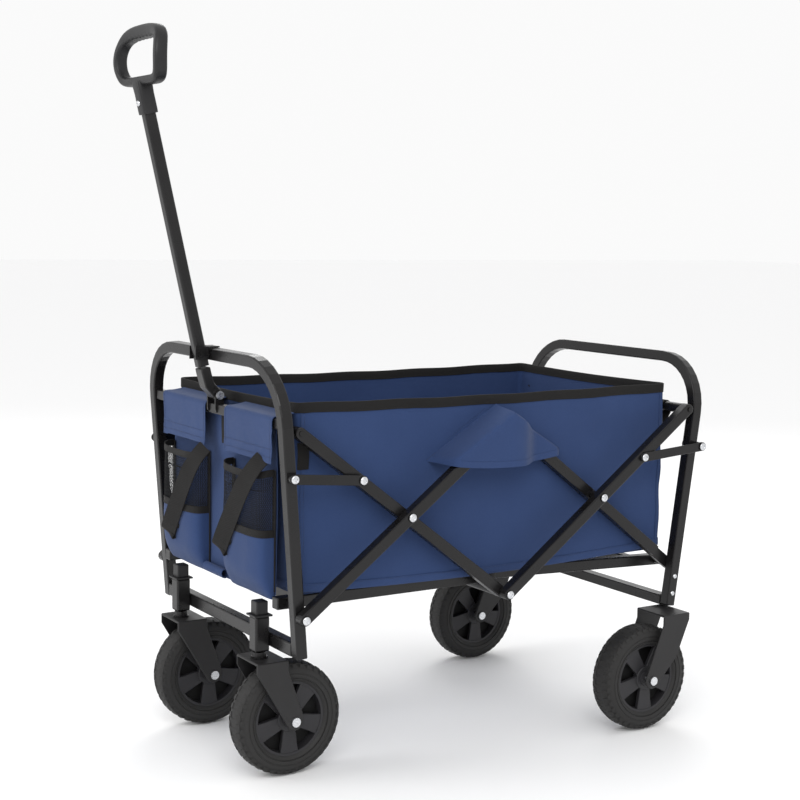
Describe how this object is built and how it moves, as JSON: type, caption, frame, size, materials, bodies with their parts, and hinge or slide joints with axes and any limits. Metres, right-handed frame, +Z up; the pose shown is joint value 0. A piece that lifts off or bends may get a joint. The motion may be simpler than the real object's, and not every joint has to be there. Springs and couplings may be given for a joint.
{
  "type": "beach cart",
  "caption": "Folding beach cart with an open fabric bin on a scissor steel frame, swivel front casters, fixed rear wheels and a pull handle with a D grip.",
  "frame": {"origin": "centre of the bounding box in plan, at ground level", "axes": "+Z up, -X towards the pull handle, +Y to the cart's right seen from the handle"},
  "size_m": [0.996, 0.602, 1.1865],
  "materials": {
    "steel_black": "satin powder coat",
    "zinc": "bright zinc",
    "plastic_black": "matt",
    "tyre_black": "matt",
    "fabric_blue": "woven",
    "mesh_black": "mesh",
    "webbing_black": "webbing",
    "board_blue": "woven"
  },
  "bodies": {
    "front_frame": {"front_hoop": "steel_black", "front_lower_crossbar": "steel_black", "front_upper_crossbar": "steel_black", "caster_housing_near": "steel_black", "caster_housing_far": "steel_black", "caster_cap_near": "plastic_black", "caster_cap_far": "plastic_black", "latch_bracket": "steel_black", "handle_hinge_bolt": "zinc", "front_apron": "fabric_blue", "front_flap_near": "fabric_blue", "front_flap_far": "fabric_blue", "pouch_near": "mesh_black", "pouch_far": "mesh_black", "front_strap_near": "webbing_black", "front_strap_far": "webbing_black"},
    "b_bars": {"bar_b_near": "steel_black", "bar_b_far": "steel_black"},
    "a_bars": {"bar_a_near": "steel_black", "bar_a_far": "steel_black", "centre_cross_tube": "steel_black"},
    "c_bars": {"bar_c_near": "steel_black", "bar_c_far": "steel_black"},
    "d_bars": {"bar_d_near": "steel_black", "bar_d_far": "steel_black"},
    "front_hanger": {"front_cross_tube": "steel_black", "bin": "fabric_blue", "floor_board": "board_blue", "side_flap_near": "fabric_blue", "side_flap_far": "fabric_blue"},
    "rear_hanger": {"rear_cross_tube": "steel_black"},
    "front_links": {"front_link_near": "steel_black", "front_link_far": "steel_black"},
    "rear_links": {"rear_link_near": "steel_black", "rear_link_far": "steel_black"},
    "base_front": {"base_front": "steel_black"},
    "base_rear": {"base_rear": "steel_black"},
    "rear_frame": {"rear_hoop": "steel_black", "rear_lower_crossbar": "steel_black", "fork_rear_near": "steel_black", "fork_rear_far": "steel_black", "axle_bolt_rear_near": "zinc", "axle_bolt_rear_far": "zinc"},
    "handle": {"handle_lever": "steel_black", "handle_pole": "steel_black", "handle_grip": "plastic_black"},
    "caster_near": {"caster_stem_near": "zinc", "fork_front_near": "steel_black", "axle_bolt_front_near": "zinc"},
    "wheel_front_near": {"tyre_front_near": "tyre_black", "hub_front_near": "plastic_black"},
    "wheel_rear_near": {"tyre_rear_near": "tyre_black", "hub_rear_near": "plastic_black"},
    "caster_far": {"caster_stem_far": "zinc", "fork_front_far": "steel_black", "axle_bolt_front_far": "zinc"},
    "wheel_front_far": {"tyre_front_far": "tyre_black", "hub_front_far": "plastic_black"},
    "wheel_rear_far": {"tyre_rear_far": "tyre_black", "hub_rear_far": "plastic_black"}
  },
  "joints": [
    {"name": "fold", "type": "hinge", "parent": "front_frame", "child": "b_bars", "pos_m": [-0.33453, 0, 0.281], "axis": [0, -1, 0], "range_deg": [0, 36], "deforming": ["bin", "floor_board", "side_flap_near", "side_flap_far"]},
    {"name": "bar_a_pivot", "type": "hinge", "parent": "b_bars", "child": "a_bars", "pos_m": [-0.14433, 0, 0.42401], "axis": [0, -1, 0], "range_deg": [-72, 0]},
    {"name": "bar_c_pivot", "type": "hinge", "parent": "b_bars", "child": "c_bars", "pos_m": [0.05117, 0, 0.571], "axis": [0, -1, 0], "range_deg": [-72, 0]},
    {"name": "bar_d_pivot", "type": "hinge", "parent": "c_bars", "child": "d_bars", "pos_m": [0.24667, 0, 0.42401], "axis": [0, -1, 0], "range_deg": [0, 72]},
    {"name": "rear_foot_pivot", "type": "hinge", "parent": "c_bars", "child": "rear_frame", "pos_m": [0.43687, 0, 0.281], "axis": [0, -1, 0], "range_deg": [0, 36]},
    {"name": "front_tube_pivot", "type": "hinge", "parent": "a_bars", "child": "front_hanger", "pos_m": [-0.33453, 0, 0.56702], "axis": [0, -1, 0], "range_deg": [0, 36]},
    {"name": "rear_tube_pivot", "type": "hinge", "parent": "d_bars", "child": "rear_hanger", "pos_m": [0.43687, 0, 0.56702], "axis": [0, -1, 0], "range_deg": [-36, 0]},
    {"name": "front_link_pivot", "type": "hinge", "parent": "front_frame", "child": "front_links", "pos_m": [-0.35147, 0, 0.4993], "axis": [0, -1, 0], "range_deg": [0, 75]},
    {"name": "rear_link_pivot", "type": "hinge", "parent": "rear_frame", "child": "rear_links", "pos_m": [0.46687, 0, 0.4993], "axis": [0, -1, 0], "range_deg": [-69, 0]},
    {"name": "base_front_hinge", "type": "hinge", "parent": "front_frame", "child": "base_front", "pos_m": [-0.33453, 0, 0.2965], "axis": [0, -1, 0], "range_deg": [0, 69]},
    {"name": "base_rear_hinge", "type": "hinge", "parent": "rear_frame", "child": "base_rear", "pos_m": [0.43687, 0, 0.281], "axis": [0, -1, 0], "range_deg": [-69, 0]},
    {"name": "handle_swing", "type": "hinge", "parent": "front_frame", "child": "handle", "pos_m": [-0.35883, 0, 0.603], "axis": [0, -1, 0], "range_deg": [0, 80]},
    {"name": "caster_swivel_near", "type": "hinge", "parent": "front_frame", "child": "caster_near", "pos_m": [-0.35263, -0.149, 0.2], "axis": [0, 0, 1], "continuous": true},
    {"name": "wheel_spin_front_near", "type": "hinge", "parent": "caster_near", "child": "wheel_front_near", "pos_m": [-0.30593, -0.149, 0.0933], "axis": [0, 1, 0], "continuous": true},
    {"name": "wheel_spin_rear_near", "type": "hinge", "parent": "rear_frame", "child": "wheel_rear_near", "pos_m": [0.34797, -0.2605, 0.0933], "axis": [0, 1, 0], "continuous": true},
    {"name": "caster_swivel_far", "type": "hinge", "parent": "front_frame", "child": "caster_far", "pos_m": [-0.35263, 0.149, 0.2], "axis": [0, 0, 1], "continuous": true},
    {"name": "wheel_spin_front_far", "type": "hinge", "parent": "caster_far", "child": "wheel_front_far", "pos_m": [-0.30593, 0.149, 0.0933], "axis": [0, 1, 0], "continuous": true},
    {"name": "wheel_spin_rear_far", "type": "hinge", "parent": "rear_frame", "child": "wheel_rear_far", "pos_m": [0.34797, 0.2605, 0.0933], "axis": [0, 1, 0], "continuous": true}
  ],
  "couplings": [
    {"joint": "bar_a_pivot", "follows": "fold", "ratio": -2},
    {"joint": "bar_c_pivot", "follows": "fold", "ratio": -2},
    {"joint": "bar_d_pivot", "follows": "fold", "ratio": 2},
    {"joint": "rear_foot_pivot", "follows": "fold", "ratio": 1},
    {"joint": "front_tube_pivot", "follows": "fold", "ratio": 1},
    {"joint": "rear_tube_pivot", "follows": "fold", "ratio": -1},
    {"joint": "front_link_pivot", "follows": "fold", "ratio": 2.06},
    {"joint": "rear_link_pivot", "follows": "fold", "ratio": -1.9},
    {"joint": "base_front_hinge", "follows": "fold", "ratio": 1.903},
    {"joint": "base_rear_hinge", "follows": "fold", "ratio": -1.903}
  ]
}
